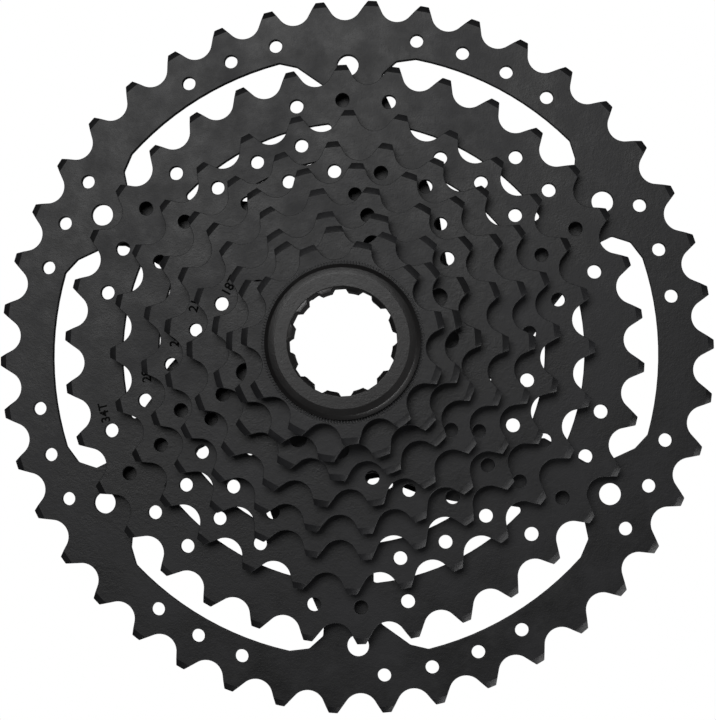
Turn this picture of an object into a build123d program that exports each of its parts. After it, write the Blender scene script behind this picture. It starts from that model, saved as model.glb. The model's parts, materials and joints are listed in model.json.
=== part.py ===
from build123d import *
import os
from math import cos, sin, tan, pi, radians, degrees

# A nine-speed bicycle cassette, lying on the back of its largest sprocket.
# Origin: the freehub axis, on the back face of the 42-tooth sprocket. +Z runs outboard.

# ---- driving dimensions, millimetres and degrees ----
CHAIN_PITCH = 12.7
SPROCKET_SPACING = 4.34          # centre to centre of neighbouring sprockets
PLATE = 1.8                      # sprocket plate thickness
STACK_CLEARANCE = 0.02           # between a loose piece and each neighbour
SPACER = SPROCKET_SPACING - PLATE

# tooth form: a round roller seat with a straight flank on each side
SEAT_RADIUS = 4.1
SEAT_HALF_ARC = 56.0             # the seat's arc either side of its bottom
LOAD_FLANK = 31.0                # flank angle from the valley's centre line
BACK_FLANK = 37.0
TIP_BEVEL_LENGTH = 1.5           # along the radius
TIP_BEVEL_FRONT = 0.55           # along the axis
TIP_BEVEL_BACK = 0.3

# bore that fits the nine-spline freehub
GROOVE_RADIUS = 17.4
TAB_RADIUS = 16.2
TAB_COUNT = 9
TAB_WIDTH = 4.4
NARROW_TAB_WIDTH = 2.8

# riveted cluster
ARM_ANGLE = 31.0                 # first of the six arms, from +X
ARM_COUNT = 6
ARM_HOLE_RADIUS = 2.6
ARM_HOLE_CIRCLE = 69.9
PIN_COUNT = 3
PIN_CIRCLE = 23.0
PIN_RADIUS = 1.6
PIN_HEAD_RADIUS = 2.6
PIN_HEAD = 0.7
CLUSTER_SPACER_RADIUS = 26.6
PIN_FIT = 0.01                   # pin hole over pin, on the radius

# A gap between two arms, as (radius, degrees past the first arm): out along one arm, and
# back in along the next, where the arm leans over. Both lines meet beyond the rim.
GAP_OUTWARD = [
    (33, 3.5), (38, 1.5), (44, 0.8), (50, 4.6), (61.5, 3.6), (65.3, 5.1), (71, 10.1), (76, 17.5)]
GAP_INWARD = [
    (76, 41), (71.5, 50.5), (68, 53), (65.1, 52.9), (55, 46.5), (46, 38.5), (43, 33.4), (37.5, 24.7)]
GAP_END_START = 6.0              # the gap's inner end, in degrees past the arm
GAP_END_STOP = 11.0
GAP_MARGIN = 1.3                 # a point this near a plate's own rim of the gap is left out
GAP_CORNER = 1.0
GAP_END_CORNER = 0.9

# loose pieces
LOOSE_SPACER_RADIUS = 19.8
LOOSE_KEYS = 3
LOOSE_KEY_ANGLE = 40             # first key, from +X
COLLAR_RADIUS = 18.0             # collar behind the 11-tooth sprocket

# shift ramps: a shallow recess two teeth long, in two steps
RAMP_SHALLOW = 0.3
RAMP_DEEP = 0.6
RAMP_DEPTH_IN = 6.7              # how far it reaches inside the root circle
RAMP_CORNER = 2.2
RAMP_LEAN = 7.0                  # how far its high side leans, along the root circle
RAMP_OVERRUN = 3.0               # past the pitch circle, to clear the tooth tips
RAMP_STEP_PAST = 0.4             # its step, in degrees past the middle valley
RAMP_HIGH_INSET = 1.0            # degrees from the high side to the next valley

# lockring and its washer
THREAD_RADIUS = 15.25            # M30.5 x 1
THREAD_LENGTH = 4.8
THREAD_RELIEF = 0.35
FLANGE_RADIUS = 17.3
FLANGE = 2.3
FLANGE_CROWN_RADIUS = 14.9       # where the top face starts to slope down
FLANGE_EDGE = 0.9                # height of the edge below the slope
FLANGE_SLOPE_DROP = 0.3          # how far the slope falls before it steepens
FLANGE_SLOPE_RUN = 0.9
TOOL_MAJOR_RADIUS = 12.1
TOOL_MINOR_RADIUS = 11.2
TOOL_NOTCHES = 12
TOOL_NOTCH_ANGLE = 3.7           # first notch, from +X
TOOL_NOTCH_MOUTH = 3.5           # notch width at the bore
TOOL_NOTCH_FLOOR = 2.4           # notch width at its outer end
TOOL_MOUTH = 0.9                 # bevel at the tool's way in
WASHER = 0.5
WASHER_BORE = THREAD_RADIUS + 0.1
WASHER_RADIUS = 16.8

# One row per sprocket, largest first. tooth: angle of one tooth. seat: pitch circle to root
# circle. tip: height of the tooth over the pitch circle. hole: radius, distance inside the
# root circle, and which teeth have one. ramp: teeth that start a ramp, and its offset in
# degrees. slot: outer and inner radius of the gaps between the arms.
SPROCKETS = [
    {"teeth": 42, "tooth": 1.28, "seat": 3.9, "tip": 1.0, "hole": (1.6, 3.9, [
        k for k in range(42) if k not in (0, 4, 5, 10, 11, 15, 16, 20, 21, 25, 26, 30, 31, 36, 37, 41)]),
     "ramp": ([4, 10, 15, 20, 25, 30, 36, 41], -0.3), "slot": (72.9, 30.6)},
    {"teeth": 34, "tooth": 7.38, "seat": 4.5, "tip": 0.4, "hole": (1.65, 3.8, [
        k for k in range(34) if k not in (0, 5, 6, 10, 11, 16, 17, 22, 23, 27, 28, 33)]),
     "ramp": ([5, 10, 16, 22, 27, 33], 2.3), "slot": (55.1, 30.6)},
    {"teeth": 28, "tooth": 0.6, "seat": 4.3, "tip": 0.6, "hole": (1.6, 2.3, [
        k for k in range(28) if k not in (0, 6, 7, 13, 14, 20, 21, 27)]),
     "ramp": ([6, 13, 20, 27], 2.0), "slot": (45.6, 30.6)},
    {"teeth": 24, "tooth": 4.8, "seat": 4.25, "tip": 0.5, "hole": (1.6, 2.45, [
        k for k in range(24) if k % 8 in (0, 4, 5, 6, 7)]),
     "ramp": ([2, 10, 18], -1.2), "slot": (38.2, 29.4)},
    {"teeth": 21, "tooth": 1.67, "seat": 4.1, "tip": 0.5, "hole": (1.5, 2.8, [
        k for k in range(21) if k % 7 in (3, 5)]),
     "ramp": ([0, 7, 14], 0.0), "slot": (33.8, 29.4)},
    {"teeth": 18, "tooth": 1.0, "seat": 4.0, "tip": 0.4, "hole": (1.6, 2.1, [
        k for k in range(18) if k % 6 in (2, 4)]),
     "ramp": ([5, 11, 17], 0.0), "slot": None},
    {"teeth": 15, "tooth": 3.0, "seat": 3.95, "tip": 0.2, "hole": (2.0, 3.0, [
        k for k in range(15) if k % 5 in (0, 1, 3)]),
     "ramp": ([4, 9, 14], 0.0), "slot": None},
    {"teeth": 13, "tooth": 12.3, "seat": 4.0, "tip": 0.1, "hole": None, "ramp": None, "slot": None},
    {"teeth": 11, "tooth": 13.0, "seat": 4.1, "tip": 0.2, "hole": None, "ramp": None, "slot": None},
]
CLUSTER_COUNT = 5                # sprockets riveted together

os.makedirs("parts", exist_ok=True)


def pitch_radius(teeth):
    return CHAIN_PITCH / 2 / sin(pi / teeth)


def root_radius(row):
    return pitch_radius(row["teeth"]) - row["seat"]


def back_face(index):
    """Height of the back of a sprocket, counted from the largest."""
    return index * SPROCKET_SPACING


def at(radius, angle):
    return (radius * cos(radians(angle)), radius * sin(radians(angle)))


def valley():
    """The gap that a chain roller drops into, drawn with +X pointing outwards."""
    foot_x = -SEAT_RADIUS * cos(radians(SEAT_HALF_ARC))
    foot_y = SEAT_RADIUS * sin(radians(SEAT_HALF_ARC))
    reach = 3 * SEAT_RADIUS
    run = reach - foot_x
    wedge = Polygon(
        (foot_x, -foot_y),
        (reach, -foot_y - run * tan(radians(BACK_FLANK))),
        (reach, foot_y + run * tan(radians(LOAD_FLANK))),
        (foot_x, foot_y),
        align=None,
    )
    return Circle(SEAT_RADIUS) + wedge


def toothed_outline(row):
    teeth = row["teeth"]
    half_pitch = 180.0 / teeth
    outline = Circle(pitch_radius(teeth) + row["tip"])
    seat_centre = root_radius(row) + SEAT_RADIUS
    gaps = PolarLocations(seat_centre, teeth, row["tooth"] + half_pitch)
    return outline - [place * valley() for place in gaps]


def bevelled_blank(row):
    """A disc whose rim is bevelled front and back, which thins every tooth's tip."""
    tip = pitch_radius(row["teeth"]) + row["tip"]
    inner = tip - TIP_BEVEL_LENGTH
    section = Polyline(
        (0, 0),
        (inner, 0),
        (tip, TIP_BEVEL_BACK),
        (tip, PLATE - TIP_BEVEL_FRONT),
        (inner, PLATE),
        (0, PLATE),
        close=True,
    )
    return revolve(Plane.XZ * make_face(section), Axis.Z)


def spline_bore():
    """The hole for the freehub: grooves for its splines, with nine tabs between them."""
    tabs = []
    for index, place in enumerate(PolarLocations(GROOVE_RADIUS, TAB_COUNT)):
        width = NARROW_TAB_WIDTH if index == 0 else TAB_WIDTH
        tabs.append(place * Rectangle(2 * (GROOVE_RADIUS - TAB_RADIUS) + 1, width))
    return Circle(TAB_RADIUS) + (Circle(GROOVE_RADIUS) - tabs)


def arm_slots(row):
    """The openings between the arms, with rounded corners."""
    outer, inner = row["slot"]
    outward = [at(radius, angle) for radius, angle in GAP_OUTWARD if abs(radius - outer) > GAP_MARGIN]
    inward = [at(radius, angle) for radius, angle in GAP_INWARD if abs(radius - outer) > GAP_MARGIN]
    end = [at(inner, GAP_END_STOP), at(inner, GAP_END_START)]
    gap = Polygon(*outward, *inward, *end, align=None) & Circle(outer)
    end_corners = gap.vertices().filter_by(lambda v: Vector(v).length < inner + GAP_CORNER)
    gap = fillet(end_corners, GAP_END_CORNER)
    corners = gap.vertices().filter_by(lambda v: Vector(v).length > inner + 2 * GAP_CORNER)
    gap = fillet(corners, GAP_CORNER)
    return [Rot(0, 0, ARM_ANGLE + 360 / ARM_COUNT * k) * gap for k in range(ARM_COUNT)]


def shift_ramp(row, tooth_index, offset):
    """A recess over two teeth: its low half is shallow and its high half deep."""
    step = 360.0 / row["teeth"]
    root = root_radius(row)
    start = row["tooth"] + (tooth_index - 0.5) * step + offset
    middle = start + step + RAMP_STEP_PAST
    end = row["tooth"] + (tooth_index + 1.5) * step
    floor = root - RAMP_DEPTH_IN
    lean = degrees(RAMP_LEAN / root)
    far = pitch_radius(row["teeth"]) + RAMP_OVERRUN
    outline = Polygon(
        at(far, start),
        at(floor, start),
        at(floor, end - lean),
        at(root, end - RAMP_HIGH_INSET),
        at(far, end),
        align=None,
    )
    corners = outline.vertices().sort_by(lambda v: Vector(v).length)[0:2]
    outline = fillet(corners, RAMP_CORNER)
    beyond = floor - RAMP_CORNER
    past = end + step
    high_side = Polygon(at(far, middle), at(beyond, middle), at(beyond, past), at(far, past), align=None)
    shallow = extrude(outline, -RAMP_SHALLOW)
    deep = extrude(outline & high_side, -RAMP_DEEP)
    return Pos(0, 0, PLATE) * (shallow + deep)


def pin_places():
    return PolarLocations(PIN_CIRCLE, PIN_COUNT, ARM_ANGLE + 60)


def sprocket(index):
    row = SPROCKETS[index]
    outline = toothed_outline(row) - spline_bore()
    if row["hole"]:
        radius, inset, teeth = row["hole"]
        for tooth in teeth:
            angle = row["tooth"] + 360.0 / row["teeth"] * tooth
            outline -= Pos(*at(root_radius(row) - inset, angle)) * Circle(radius)
    if row["slot"]:
        for slot in arm_slots(row):
            outline -= slot
    if index == 0:
        outline -= PolarLocations(ARM_HOLE_CIRCLE, ARM_COUNT, ARM_ANGLE) * Circle(ARM_HOLE_RADIUS)
    if index < CLUSTER_COUNT:
        outline -= pin_places() * Circle(PIN_RADIUS + PIN_FIT)
    body = extrude(outline, PLATE) & bevelled_blank(row)
    if row["ramp"]:
        teeth, offset = row["ramp"]
        for tooth in teeth:
            body -= shift_ramp(row, tooth, offset)
    if index == 0:
        body -= pin_places() * Cylinder(PIN_HEAD_RADIUS + PIN_FIT, 2 * PIN_HEAD)
    if row["teeth"] == 11:
        body += collar()
    return Pos(0, 0, back_face(index)) * body


def collar():
    """The spacer that is one piece with the smallest sprocket, behind it."""
    height = SPACER - STACK_CLEARANCE
    return Pos(0, 0, -height) * extrude(Circle(COLLAR_RADIUS) - spline_bore(), height)


def cluster_spacer(index):
    """Ring between two riveted sprockets, with the three pins through it."""
    ring = Circle(CLUSTER_SPACER_RADIUS) - Circle(GROOVE_RADIUS)
    ring -= pin_places() * Circle(PIN_RADIUS + PIN_FIT)
    return Pos(0, 0, back_face(index) + PLATE) * extrude(ring, SPACER)


def loose_spacer(index):
    """Plain ring with three keys, between two loose sprockets."""
    ring = Circle(LOOSE_SPACER_RADIUS) - Circle(GROOVE_RADIUS)
    for place in PolarLocations(GROOVE_RADIUS, LOOSE_KEYS, LOOSE_KEY_ANGLE):
        ring += place * Rectangle(2 * (GROOVE_RADIUS - TAB_RADIUS), NARROW_TAB_WIDTH)
    height = SPACER - 2 * STACK_CLEARANCE
    return Pos(0, 0, back_face(index) + PLATE + STACK_CLEARANCE) * extrude(ring, height)


def cluster_pins():
    """Three long rivets: a flush head behind and a low dome in front."""
    top = back_face(CLUSTER_COUNT - 1) + PLATE
    shank = extrude(Circle(PIN_RADIUS), top)
    rear = extrude(Circle(PIN_HEAD_RADIUS), PIN_HEAD)
    dome = Pos(0, 0, top) * extrude(Circle(PIN_HEAD_RADIUS), PIN_HEAD)
    pin = shank + rear + dome
    crown = pin.edges().filter_by(GeomType.CIRCLE).sort_by(Axis.Z)[-1]
    pin = fillet(crown, 0.5 * PIN_HEAD)
    return Compound(children=[place * pin for place in pin_places()])


def stack_top():
    return back_face(len(SPROCKETS) - 1) + PLATE


def lock_washer():
    ring = Circle(WASHER_RADIUS) - Circle(WASHER_BORE)
    return Pos(0, 0, stack_top() + STACK_CLEARANCE) * extrude(ring, WASHER)


def lockring():
    """Flange with a crowned top, threaded skirt below, splined tool bore."""
    seat = stack_top() + WASHER + 2 * STACK_CLEARANCE
    section = Polyline(
        (TOOL_MINOR_RADIUS, -THREAD_LENGTH),
        (THREAD_RADIUS - THREAD_RELIEF, -THREAD_LENGTH),
        (THREAD_RADIUS, -THREAD_LENGTH + 2 * THREAD_RELIEF),
        (THREAD_RADIUS, 0),
        (FLANGE_RADIUS, 0),
        (FLANGE_RADIUS, FLANGE_EDGE),
        (FLANGE_RADIUS - FLANGE_SLOPE_RUN, FLANGE - FLANGE_SLOPE_DROP),
        (FLANGE_CROWN_RADIUS, FLANGE),
        (TOOL_MINOR_RADIUS + TOOL_MOUTH, FLANGE),
        (TOOL_MINOR_RADIUS, FLANGE - TOOL_MOUTH),
        close=True,
    )
    body = revolve(Plane.XZ * make_face(section), Axis.Z)
    notch = Polygon(
        (TOOL_MINOR_RADIUS - TOOL_MOUTH, -TOOL_NOTCH_MOUTH / 2),
        (TOOL_MINOR_RADIUS, -TOOL_NOTCH_MOUTH / 2),
        (TOOL_MAJOR_RADIUS, -TOOL_NOTCH_FLOOR / 2),
        (TOOL_MAJOR_RADIUS, TOOL_NOTCH_FLOOR / 2),
        (TOOL_MINOR_RADIUS, TOOL_NOTCH_MOUTH / 2),
        (TOOL_MINOR_RADIUS - TOOL_MOUTH, TOOL_NOTCH_MOUTH / 2),
        align=None,
    )
    keyway = [place * notch for place in PolarLocations(0, TOOL_NOTCHES, TOOL_NOTCH_ANGLE)]
    body -= Pos(0, 0, -2 * THREAD_LENGTH) * extrude(Sketch() + keyway, 3 * THREAD_LENGTH)
    return Pos(0, 0, seat) * body


def save(name, shape):
    shape.label = name
    export_step(shape, f"parts/{name}.step")
    print(f"{name}: {shape.volume:.0f} mm3")


for index, row in enumerate(SPROCKETS):
    save(f"sprocket_{row['teeth']}t", sprocket(index))

for index in range(len(SPROCKETS) - 2):
    name = f"spacer_{SPROCKETS[index]['teeth']}_{SPROCKETS[index + 1]['teeth']}"
    make = cluster_spacer if index < CLUSTER_COUNT - 1 else loose_spacer
    save(name, make(index))

save("cluster_pins", cluster_pins())
save("lock_washer", lock_washer())
save("lockring", lockring())
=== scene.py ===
# %% [markdown]
# # A nine-speed bicycle cassette
# Nine toothed plates sit on one axis, each smaller than the one behind it, and a round lockring holds
# them on the wheel's hub. The plates, spacers, rivets and lockring come in as exact solids, with sharp
# edges and no finish. This lesson breaks every edge, as tumbling and coating do on the real parts,
# builds the details that are finer than the solids, and makes the finishes: black coated steel, dark
# anodised alloy, nylon and bare steel. Lengths are in metres. The axis is +Z and the lockring is on top.

# %% Load the frame
import json
from math import cos, sin, pi, radians

import bmesh
import bpy
from mathutils import Matrix, Vector


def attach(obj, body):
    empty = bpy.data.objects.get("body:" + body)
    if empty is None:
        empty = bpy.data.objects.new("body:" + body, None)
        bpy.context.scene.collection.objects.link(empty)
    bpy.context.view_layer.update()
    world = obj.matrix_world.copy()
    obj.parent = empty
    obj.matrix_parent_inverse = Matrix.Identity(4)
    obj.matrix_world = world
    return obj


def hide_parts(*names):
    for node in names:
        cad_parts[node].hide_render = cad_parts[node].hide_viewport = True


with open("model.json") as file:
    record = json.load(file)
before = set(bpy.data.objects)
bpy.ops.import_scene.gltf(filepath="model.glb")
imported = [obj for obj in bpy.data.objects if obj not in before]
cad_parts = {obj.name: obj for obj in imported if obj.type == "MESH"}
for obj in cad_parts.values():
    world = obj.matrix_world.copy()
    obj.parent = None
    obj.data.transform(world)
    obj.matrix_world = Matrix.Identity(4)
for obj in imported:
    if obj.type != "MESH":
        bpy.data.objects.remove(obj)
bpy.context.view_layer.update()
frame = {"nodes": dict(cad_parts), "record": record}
MM = 0.001
print("nodes:", len(frame["nodes"]))

# %% [markdown]
# The camera comes first, because it decides which surfaces matter. It looks down the axis from a little
# to the lower right through a long lens, so each smaller sprocket sits slightly further up and left.

# %% Camera
camera_data = bpy.data.cameras.new("camera")
camera_data.lens = 90.75
camera_data.sensor_width = 36
camera_data.sensor_fit = "HORIZONTAL"
camera_data.clip_start = 0.01
camera = bpy.data.objects.new("camera", camera_data)
camera.location = (0.02796, -0.02909, 0.43350)
camera.rotation_euler = (radians(3.610), radians(3.542), radians(-0.015))
bpy.context.collection.objects.link(camera)
bpy.context.scene.camera = camera
print("camera is", round(camera.location.length / MM), "mm away")

# %% [markdown]
# Black parts show the light more than their own colour. One wide soft panel, overhead and a little to
# the upper left, is what the flat plates mirror, so they fade towards the lower right. The bevels on the
# teeth tilt away from it and go dark. A long thin panel low at the lower right only catches the edges
# that face it. Light from all round is very weak, so holes and steps stay dark.

# %% Light
def soft_panel(name, place, size, power, aim=(0, 0, 0.02)):
    """A rectangular area light that faces a point."""
    data = bpy.data.lights.new(name, "AREA")
    data.shape = "RECTANGLE"
    data.size, data.size_y = size
    data.energy = power
    panel = bpy.data.objects.new(name, data)
    panel.location = place
    panel.rotation_euler = (Vector(aim) - Vector(place)).to_track_quat("-Z", "Y").to_euler()
    bpy.context.collection.objects.link(panel)
    return panel


soft_panel("panel_overhead", (-0.14, 0.30, 0.85), (0.60, 0.40), 3.3)
soft_panel("panel_lower_right", (0.60, -0.62, 0.30), (1.0, 0.10), 5.0)

world = bpy.data.worlds.new("studio")
bpy.context.scene.world = world
world.use_nodes = True
world.node_tree.nodes["Background"].inputs["Color"].default_value = (0.95, 0.97, 1.0, 1)
world.node_tree.nodes["Background"].inputs["Strength"].default_value = 0.03
bpy.context.scene.view_settings.view_transform = "Standard"

# %% [markdown]
# The floor is plain and pale. It lies well below the part, so the slots and holes show it clean. Seen
# directly it is white; for the light that it throws back on the part it is only dim, as a floor further
# away would be.

# %% Floor
FLOOR_DROP = 0.25
floor_shape = bmesh.new()
bmesh.ops.create_grid(floor_shape, x_segments=1, y_segments=1, size=2.5)
bmesh.ops.translate(floor_shape, verts=floor_shape.verts, vec=(0, 0, -FLOOR_DROP))
floor_data = bpy.data.meshes.new("floor")
floor_shape.to_mesh(floor_data)
floor_shape.free()
floor = bpy.data.objects.new("floor", floor_data)
bpy.context.collection.objects.link(floor)

pale_floor = bpy.data.materials.new("pale_floor")
pale_floor.use_nodes = True
pale_nodes = pale_floor.node_tree.nodes
pale_links = pale_floor.node_tree.links
seen_directly = pale_nodes.new("ShaderNodeLightPath")
white = pale_nodes.new("ShaderNodeEmission")
white.inputs["Strength"].default_value = 1.0
dim = pale_nodes.new("ShaderNodeBsdfDiffuse")
dim.inputs["Color"].default_value = (0.12, 0.12, 0.12, 1)
either = pale_nodes.new("ShaderNodeMixShader")
pale_links.new(seen_directly.outputs["Is Camera Ray"], either.inputs["Fac"])
pale_links.new(dim.outputs["BSDF"], either.inputs[1])
pale_links.new(white.outputs["Emission"], either.inputs[2])
pale_links.new(either.outputs["Shader"], pale_nodes["Material Output"].inputs["Surface"])
floor_data.materials.append(pale_floor)
print("floor", FLOOR_DROP / MM, "mm below")

# %% [markdown]
# ## Finishes
# Every surface here has three things in common, so they are one node group, used with other values in
# each finish. Clouds are the uneven film that a coating bath leaves. Grain is the film's fine tooth.
# Rubs are the lighter places, mostly along edges, where parts have knocked together. The rub mask
# compares the surface's own normal with one rounded over a small radius: they differ only near an edge.

# %% Shared surface group
def new_group(name, inputs, outputs):
    """An empty shader group. Inputs are name: default, and outputs are name: socket type."""
    group = bpy.data.node_groups.new(name, "ShaderNodeTree")
    for label, value in inputs.items():
        kind = "NodeSocketColor" if isinstance(value, tuple) else "NodeSocketFloat"
        socket = group.interface.new_socket(name=label, in_out="INPUT", socket_type=kind)
        socket.default_value = value
    for label, kind in outputs.items():
        group.interface.new_socket(name=label, in_out="OUTPUT", socket_type=kind)
    return group, group.nodes.new("NodeGroupInput"), group.nodes.new("NodeGroupOutput")


def maths(tree, operation, first, second=None, clamp=False):
    """A Math node; each argument is a socket or a number."""
    node = tree.nodes.new("ShaderNodeMath")
    node.operation = operation
    node.use_clamp = clamp
    for slot_number, value in enumerate((first, second)):
        if value is None:
            continue
        if isinstance(value, (int, float)):
            node.inputs[slot_number].default_value = value
        else:
            tree.links.new(value, node.inputs[slot_number])
    return node.outputs[0]


def noise(tree, vector, scale, detail=3.0, roughness=0.55):
    """Noise in cycles a metre."""
    node = tree.nodes.new("ShaderNodeTexNoise")
    node.inputs["Scale"].default_value = scale
    node.inputs["Detail"].default_value = detail
    node.inputs["Roughness"].default_value = roughness
    tree.links.new(vector, node.inputs["Vector"])
    return node.outputs["Fac"]


def blend_colour(tree, factor, first, second):
    """Mixes two colours; each is a socket or a colour."""
    node = tree.nodes.new("ShaderNodeMix")
    node.data_type = "RGBA"
    tree.links.new(factor, node.inputs["Factor"])
    for label, value in ((6, first), (7, second)):
        if isinstance(value, tuple):
            node.inputs[label].default_value = value
        else:
            tree.links.new(value, node.inputs[label])
    return node.outputs[2]


surface_group, surface_in, surface_out = new_group(
    "worked_surface",
    {
        "Film": (0.02, 0.02, 0.02, 1),
        "Cloud": (0.03, 0.03, 0.03, 1),
        "Rubbed": (0.1, 0.1, 0.1, 1),
        "Roughness": 0.4,
        "Roughness Spread": 0.12,
        "Edge Rub": 0.5,
        "Patch Rub": 0.2,
        "Grain Height": 0.4,
    },
    {"Color": "NodeSocketColor", "Roughness": "NodeSocketFloat", "Height": "NodeSocketFloat"},
)
place = surface_group.nodes.new("ShaderNodeTexCoord").outputs["Object"]
clouds = noise(surface_group, place, 55, 4.0, 0.6)
patches = noise(surface_group, place, 190, 5.0, 0.65)
grain = noise(surface_group, place, 2600, 2.0, 0.6)
speckle = noise(surface_group, place, 900, 3.0, 0.6)

rounded = surface_group.nodes.new("ShaderNodeBevel")
rounded.samples = 4
rounded.inputs["Radius"].default_value = 0.22 * MM
geometry = surface_group.nodes.new("ShaderNodeNewGeometry")
compare = surface_group.nodes.new("ShaderNodeVectorMath")
compare.operation = "DOT_PRODUCT"
surface_group.links.new(rounded.outputs["Normal"], compare.inputs[0])
surface_group.links.new(geometry.outputs["Normal"], compare.inputs[1])
edge = maths(surface_group, "SUBTRACT", 1.0, compare.outputs["Value"])
edge = maths(surface_group, "MULTIPLY", edge, 6.0, clamp=True)
edge = maths(surface_group, "MULTIPLY", edge, maths(surface_group, "MULTIPLY", patches, 1.7))
edge = maths(surface_group, "MULTIPLY", edge, surface_in.outputs["Edge Rub"], clamp=True)
patch = maths(surface_group, "SUBTRACT", patches, 0.56)
patch = maths(surface_group, "MULTIPLY", patch, 5.0, clamp=True)
patch = maths(surface_group, "MULTIPLY", patch, surface_in.outputs["Patch Rub"])
cloud_mask = maths(surface_group, "SUBTRACT", clouds, 0.36)
cloud_mask = maths(surface_group, "MULTIPLY", cloud_mask, 3.2, clamp=True)

colour = blend_colour(surface_group, cloud_mask, surface_in.outputs["Film"], surface_in.outputs["Cloud"])
colour = blend_colour(surface_group, patch, colour, surface_in.outputs["Rubbed"])
colour = blend_colour(surface_group, edge, colour, surface_in.outputs["Rubbed"])
surface_group.links.new(colour, surface_out.inputs["Color"])
spread = maths(surface_group, "SUBTRACT", maths(surface_group, "ADD", clouds, patches), 1.0)
spread = maths(surface_group, "MULTIPLY", spread, surface_in.outputs["Roughness Spread"])
rough = maths(surface_group, "ADD", surface_in.outputs["Roughness"], spread, clamp=True)
surface_group.links.new(rough, surface_out.inputs["Roughness"])
height = maths(surface_group, "ADD", grain, maths(surface_group, "MULTIPLY", speckle, 1.5))
height = maths(surface_group, "MULTIPLY", height, surface_in.outputs["Grain Height"])
surface_group.links.new(height, surface_out.inputs["Height"])
print("surface group nodes:", len(surface_group.nodes))

# %% [markdown]
# A finish is the group, a bump for the grain, and a shader. Values that are the same all over, such as
# the metallic share, go straight on the shader. The coating on the steel is a thin film, so it isn't
# metallic; rubbed edges only look lighter. Anodised alloy and bare rivets are metal.

# %% Finishes
def finish(name, values, metallic=0.0, specular=0.5, bump=0.05):
    """A material made of the shared group and one shader."""
    material = bpy.data.materials.new(name)
    material.use_nodes = True
    tree = material.node_tree
    shader = tree.nodes["Principled BSDF"]
    shader.inputs["Metallic"].default_value = metallic
    shader.inputs["Specular IOR Level"].default_value = specular
    surface = tree.nodes.new("ShaderNodeGroup")
    surface.node_tree = surface_group
    for label, value in values.items():
        surface.inputs[label].default_value = value
    relief = tree.nodes.new("ShaderNodeBump")
    relief.inputs["Strength"].default_value = bump
    relief.inputs["Distance"].default_value = 0.1 * MM
    tree.links.new(surface.outputs["Height"], relief.inputs["Height"])
    tree.links.new(surface.outputs["Color"], shader.inputs["Base Color"])
    tree.links.new(surface.outputs["Roughness"], shader.inputs["Roughness"])
    tree.links.new(relief.outputs["Normal"], shader.inputs["Normal"])
    return material


coated_steel = finish("coated_steel", {
    "Film": (0.009, 0.009, 0.0095, 1), "Cloud": (0.019, 0.019, 0.021, 1),
    "Rubbed": (0.10, 0.10, 0.104, 1),
    "Roughness": 0.45, "Roughness Spread": 0.30,
    "Edge Rub": 0.55, "Patch Rub": 0.10, "Grain Height": 1.0,
}, specular=0.42, bump=0.30)
coated_lockring = finish("coated_lockring", {
    "Film": (0.012, 0.0115, 0.0115, 1), "Cloud": (0.019, 0.018, 0.018, 1),
    "Rubbed": (0.075, 0.07, 0.068, 1),
    "Roughness": 0.36, "Roughness Spread": 0.2, "Edge Rub": 0.6, "Patch Rub": 0.14, "Grain Height": 1.0,
}, specular=0.45, bump=0.2)
anodised_alloy = finish("anodised_alloy", {
    "Film": (0.035, 0.035, 0.037, 1), "Cloud": (0.05, 0.05, 0.053, 1),
    "Rubbed": (0.35, 0.35, 0.36, 1),
    "Roughness": 0.34, "Roughness Spread": 0.1, "Edge Rub": 0.4, "Patch Rub": 0.05, "Grain Height": 0.7,
}, metallic=0.7, bump=0.15)
black_nylon = finish("black_nylon", {
    "Film": (0.012, 0.012, 0.012, 1), "Cloud": (0.016, 0.016, 0.016, 1),
    "Rubbed": (0.05, 0.05, 0.05, 1),
    "Roughness": 0.58, "Roughness Spread": 0.1, "Edge Rub": 0.2, "Patch Rub": 0.05, "Grain Height": 1.0,
}, specular=0.35, bump=0.4)
rivet_steel = finish("rivet_steel", {
    "Film": (0.22, 0.22, 0.225, 1), "Cloud": (0.30, 0.30, 0.31, 1),
    "Rubbed": (0.6, 0.6, 0.6, 1),
    "Roughness": 0.33, "Roughness Spread": 0.15, "Edge Rub": 0.5, "Patch Rub": 0.2, "Grain Height": 0.6,
}, metallic=1.0, bump=0.15)
dark_washer = finish("dark_washer", {
    "Film": (0.03, 0.03, 0.03, 1), "Cloud": (0.04, 0.04, 0.04, 1),
    "Rubbed": (0.12, 0.12, 0.12, 1),
    "Roughness": 0.45, "Roughness Spread": 0.1, "Edge Rub": 0.3, "Patch Rub": 0.1, "Grain Height": 0.8,
}, metallic=0.8, bump=0.2)
# Painted shade: a near-black, dull finish for the figures that stand in for the shade in the stamped
# dents.
painted_stamp_shade = finish("painted_stamp_shade", {
    "Film": (0.002, 0.002, 0.002, 1), "Cloud": (0.003, 0.003, 0.003, 1),
    "Rubbed": (0.006, 0.006, 0.006, 1),
    "Roughness": 0.8, "Roughness Spread": 0.05, "Edge Rub": 0.0, "Patch Rub": 0.0, "Grain Height": 0.5,
}, specular=0.1, bump=0.1)
SLOT_FINISH = {
    "black_steel": coated_steel,
    "spacer_alloy": anodised_alloy,
    "spacer_plastic": black_nylon,
    "pin_steel": rivet_steel,
    "lockring_black": coated_lockring,
}
SLOT_OF = {row["node"]: row["material_slot"] for row in frame["record"]["subparts"]}
print("finishes:", ", ".join(material.name for material in SLOT_FINISH.values()))

# %% [markdown]
# ## Broken edges
# A blanked plate is tumbled before it is coated, so no edge on it is sharp, and each edge shows as a
# fine line. A Bevel modifier could do it, but the solid's faces are cut in thousands of triangles. So a
# copy is merged, its flat triangles are dissolved into whole faces, and then every edge sharper than a
# given angle is bevelled. The copy drops the normals that it inherits, which would shade the flat faces
# as if they were curved. Level faces are shaded flat and all others smooth.

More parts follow.
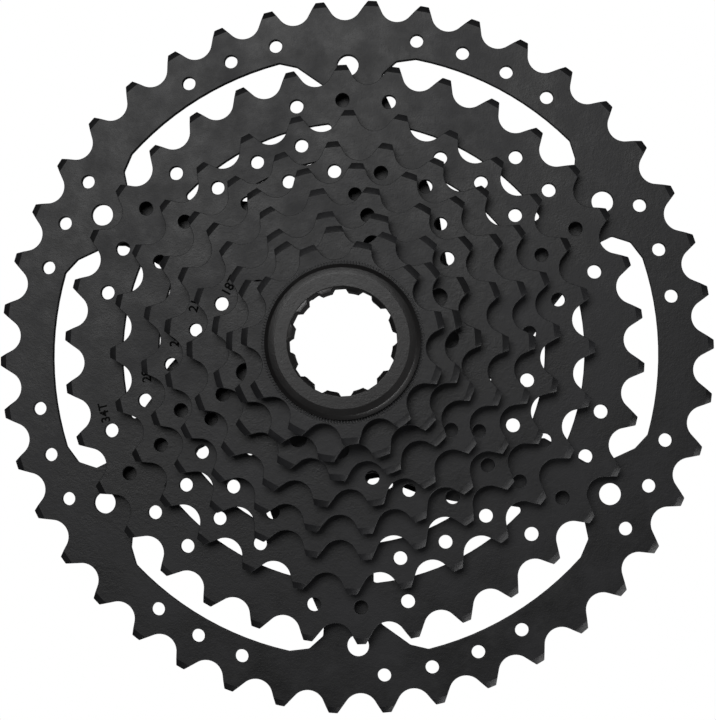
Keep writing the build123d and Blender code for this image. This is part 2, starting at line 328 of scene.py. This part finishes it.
# %% Edge helper
BODIES = frame["record"]["behaviour"]["bodies"]
BODY_OF = {node: body for body, nodes in BODIES.items() for node in nodes}
MERGE_DISTANCE = 0.002 * MM
SAME_PLANE = radians(0.6)
SHARP_SHADING = radians(38)
LEVEL = 0.9995                   # upright share of a level face's normal


def merged_copy(node):
    """A bmesh of a CAD node with its triangles joined into whole flat faces."""
    shape = bmesh.new()
    shape.from_mesh(frame["nodes"][node].data)
    bmesh.ops.remove_doubles(shape, verts=shape.verts, dist=MERGE_DISTANCE)
    bmesh.ops.dissolve_limit(shape, angle_limit=SAME_PLANE, verts=shape.verts, edges=shape.edges)
    return shape


def break_edges(shape, width, least_turn):
    """Bevels every edge that turns more than an angle in degrees."""
    least = radians(least_turn)
    sharp = [e for e in shape.edges if len(e.link_faces) == 2 and e.calc_face_angle(0) > least]
    bmesh.ops.bevel(shape, geom=sharp, offset=width, offset_type="OFFSET", affect="EDGES",
                    segments=2, profile=0.5, material=-1, clamp_overlap=False)
    return len(sharp)


def place_piece(name, shape, material, node, replaces=True):
    """Turns a bmesh into a piece that rides with a CAD node's body."""
    shape.normal_update()
    data = bpy.data.meshes.new(name)
    shape.to_mesh(data)
    shape.free()
    if "custom_normal" in data.attributes:
        data.attributes.remove(data.attributes["custom_normal"])
    data.set_sharp_from_angle(angle=SHARP_SHADING)
    for polygon in data.polygons:
        polygon.use_smooth = abs(polygon.normal.z) < LEVEL
    data.materials.append(material)
    piece = bpy.data.objects.new(name, data)
    bpy.context.collection.objects.link(piece)
    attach(piece, BODY_OF[node])
    if replaces:
        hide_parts(node)
    return piece


# %% [markdown]
# The nine sprockets are blanked from sheet steel. Each keeps its exact outline, holes and tooth bevels,
# and gets its edges broken by a little over a tenth of a millimetre. A real cassette also has shift
# ramps, shallow recesses in the faces that lift the chain. The solids have none, so neither do these
# plates, and their faces are plain between the holes.

# %% Sprockets
EDGE_BREAK = 0.12 * MM
TEETH = (42, 34, 28, 24, 21, 18, 15, 13, 11)
for teeth in TEETH:
    node = f"sprocket_{teeth}t"
    shape = merged_copy(node)
    shape.normal_update()
    edges = break_edges(shape, EDGE_BREAK, least_turn=50)
    piece = place_piece(f"coated_sprocket_{teeth}", shape, coated_steel, node)
    print(piece.name, edges, "edges broken,", len(piece.data.polygons), "faces")

# %% [markdown]
# The spacers are plain turned or moulded rings, and the rivets are headed pins. They get a smaller
# break. The cluster's spacers are alloy, and the loose ones are nylon. The washer is dark.

# %% Spacers, rivets and washer
SMALL_BREAK = 0.08 * MM
for node in sorted(frame["nodes"]):
    if node.startswith("spacer") or node in ("cluster_pins", "lock_washer"):
        slot = SLOT_OF[node]
        material = dark_washer if node == "lock_washer" else SLOT_FINISH[slot]
        shape = merged_copy(node)
        break_edges(shape, SMALL_BREAK, least_turn=35)
        place_piece(f"finished_{node}", shape, material, node)
        print("finished", node)

# %% [markdown]
# ## The lockring
# The lockring is turned from bar, broached for its tool and coated. Its crowned top and the bevel at the
# mouth of the bore come with the solid, and its edges are broken like the plates'. The solid's skirt is
# a plain cylinder at the thread's outside, so the copy's skirt is drawn in to the thread's root, and a
# real thread is wound on it: one V profile, spun round the axis while it climbs a millimetre a turn.

# %% Lockring with its thread
SEAT_HEIGHT = 37.06 * MM
SKIRT_END = 32.26 * MM
THREAD_CREST = 15.25 * MM
THREAD_ROOT = 14.62 * MM
THREAD_PITCH = 1.0 * MM
THREAD_START = 32.85 * MM
THREAD_TURNS = 3.6
TURN_STEPS = 72
LOCKRING_BREAK = 0.12 * MM


def radius_of(point):
    return Vector((point.x, point.y)).length


def set_radius(vert, radius):
    scale = radius / radius_of(vert.co)
    vert.co.x *= scale
    vert.co.y *= scale


ring = merged_copy("lockring")
for vert in ring.verts:
    if vert.co.z < SEAT_HEIGHT + 0.01 * MM and 14.3 * MM < radius_of(vert.co) < 15.4 * MM:
        set_radius(vert, THREAD_ROOT)
break_edges(ring, LOCKRING_BREAK, least_turn=14)
lockring_piece = place_piece("lockring_body", ring, coated_lockring, "lockring")

thread = bmesh.new()
profile = [(THREAD_ROOT - 0.05 * MM, -0.47), (THREAD_CREST - 0.02 * MM, -0.08),
           (THREAD_CREST - 0.02 * MM, 0.08), (THREAD_ROOT - 0.05 * MM, 0.47)]
corners = [thread.verts.new((radius, 0, THREAD_START + rise * THREAD_PITCH)) for radius, rise in profile]
sides = [thread.edges.new(pair) for pair in zip(corners, corners[1:])]
bmesh.ops.spin(thread, geom=corners + sides, cent=(0, 0, 0), axis=(0, 0, 1),
               angle=2 * pi * THREAD_TURNS, steps=int(THREAD_TURNS * TURN_STEPS),
               dvec=(0, 0, THREAD_PITCH / TURN_STEPS))
bmesh.ops.recalc_face_normals(thread, faces=thread.faces)
place_piece("lockring_thread_turns", thread, coated_lockring, "lockring",
            replaces=False)
print("thread:", THREAD_TURNS, "turns up to", round(THREAD_START / MM + THREAD_TURNS, 2), "mm")

# %% [markdown]
# Fine teeth are pressed in a ring on the face of the smallest sprocket and under the lockring's flange.
# They click past each other as the lockring is tightened and stop it from turning back. Each ring is one
# little block with a broken top, copied round the axis. The sprocket's ring stands on a thin land, which
# also closes the mouths of the spline grooves round the lockring.

# %% Locking teeth
TOOTH_COUNT = 170
FACE_OF_11T = 36.52 * MM


def locking_teeth(inner, outer, base, height, count):
    """A ring of small radial blocks that stand on a level; a negative height hangs them from it."""
    teeth = bmesh.new()
    bmesh.ops.create_cube(teeth, size=1.0)
    width = 0.52 * 2 * pi * 0.5 * (inner + outer) / count
    bmesh.ops.scale(teeth, verts=teeth.verts, vec=(outer - inner, width, abs(height)))
    bmesh.ops.translate(teeth, verts=teeth.verts, vec=(0.5 * (inner + outer), 0, base + 0.5 * height))
    far_level = base + height
    far_edges = [e for e in teeth.edges if all(abs(v.co.z - far_level) < 0.01 * MM for v in e.verts)]
    bmesh.ops.bevel(teeth, geom=far_edges, offset=0.08 * MM, offset_type="OFFSET", affect="EDGES",
                    segments=1, profile=0.5, material=-1)
    bmesh.ops.spin(teeth, geom=teeth.verts[:] + teeth.edges[:] + teeth.faces[:], cent=(0, 0, 0),
                   axis=(0, 0, 1), angle=2 * pi * (count - 1) / count, steps=count - 1,
                   use_duplicate=True)
    return teeth


def turned_ring(inner, outer, low, high, steps=128):
    """A plain ring: a rectangle spun round the axis."""
    ring = bmesh.new()
    outline = [ring.verts.new((radius, 0, level))
               for radius, level in ((inner, low), (outer, low), (outer, high), (inner, high))]
    around = [ring.edges.new(pair) for pair in zip(outline, outline[1:] + outline[:1])]
    bmesh.ops.spin(ring, geom=outline + around, cent=(0, 0, 0), axis=(0, 0, 1), angle=2 * pi,
                   steps=steps, use_merge=True)
    bmesh.ops.recalc_face_normals(ring, faces=ring.faces)
    return ring


land = turned_ring(16.92 * MM, 18.07 * MM, FACE_OF_11T - 0.15 * MM, FACE_OF_11T + 0.04 * MM)
place_piece("locking_teeth_land", land, coated_steel, "sprocket_11t", replaces=False)
sprocket_teeth = locking_teeth(16.92 * MM, 18.07 * MM, FACE_OF_11T - 0.02 * MM, 0.30 * MM, TOOTH_COUNT)
place_piece("locking_teeth_on_sprocket", sprocket_teeth, coated_steel, "sprocket_11t",
            replaces=False)
flange_teeth = locking_teeth(16.92 * MM, 17.22 * MM, SEAT_HEIGHT + 0.02 * MM, -0.20 * MM, TOOTH_COUNT)
place_piece("locking_teeth_on_lockring", flange_teeth, coated_lockring, "lockring",
            replaces=False)
print("locking teeth in each ring:", TOOTH_COUNT)

# %% [markdown]
# ## Tooth counts
# Each sprocket is stamped with its number of teeth, so that a worn one can be matched. A stamp is a
# shallow dent whose floor lies in shade and looks darker than the face. The dent isn't cut here: its
# shade is painted as a very thin near-black figure that lies on the plate. It reads from the outside,
# with its top towards the rim.

# %% Stamped figures
STAMPS = [
    ("34T", "sprocket_34t", 61.0, 193.7),
    ("28", "sprocket_28t", 48.7, 187.0),
    ("24", "sprocket_24t", 41.0, 177.0),
    ("21", "sprocket_21t", 37.0, 164.5),
    ("18T", "sprocket_18t", 30.3, 152.5),
]
PLATE_THICKNESS = 1.8 * MM
SPROCKET_PITCH = 4.34 * MM
FIGURE_SIZE = 3.0 * MM
FIGURE_THICKNESS = 0.015 * MM


def stamp(text, node, radius_mm, degrees):
    """A figure of painted shade for a stamped dent, made as text, turned to a mesh, then laid on its
    plate.
    """
    curve = bpy.data.curves.new(f"figure_{text}", "FONT")
    curve.body = text
    curve.size = FIGURE_SIZE
    curve.extrude = 0.5 * FIGURE_THICKNESS
    curve.offset = 0.07 * MM
    curve.align_x = "CENTER"
    curve.align_y = "CENTER"
    writer = bpy.data.objects.new("writer", curve)
    bpy.context.collection.objects.link(writer)
    data = bpy.data.meshes.new_from_object(writer)
    bpy.data.objects.remove(writer)
    index = TEETH.index(int(node.split("_")[1][:-1]))
    top = index * SPROCKET_PITCH + PLATE_THICKNESS
    turn = radians(degrees)
    spot = Vector((radius_mm * MM * cos(turn), radius_mm * MM * sin(turn), top + 0.5 * FIGURE_THICKNESS))
    data.transform(Matrix.Translation(spot) @ Matrix.Rotation(turn - pi / 2, 4, "Z"))
    data.name = f"stamped_{text}"
    # The figure carries the painted shade of its stamped dent.
    data.materials.clear()
    data.materials.append(painted_stamp_shade)
    piece = bpy.data.objects.new(f"stamped_{text}", data)
    bpy.context.collection.objects.link(piece)
    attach(piece, BODY_OF[node])


for text, node, radius_mm, degrees in STAMPS:
    stamp(text, node, radius_mm, degrees)
print("stamped:", ", ".join(row[0] for row in STAMPS))

# %% [markdown]
# ## Finish
# The nodes that the new pieces stand for stay as they are, with a procedural finish of their own.

# %% Finishes on the CAD nodes
for node, slot in SLOT_OF.items():
    data = frame["nodes"][node].data
    data.materials.clear()
    data.materials.append(SLOT_FINISH[slot])
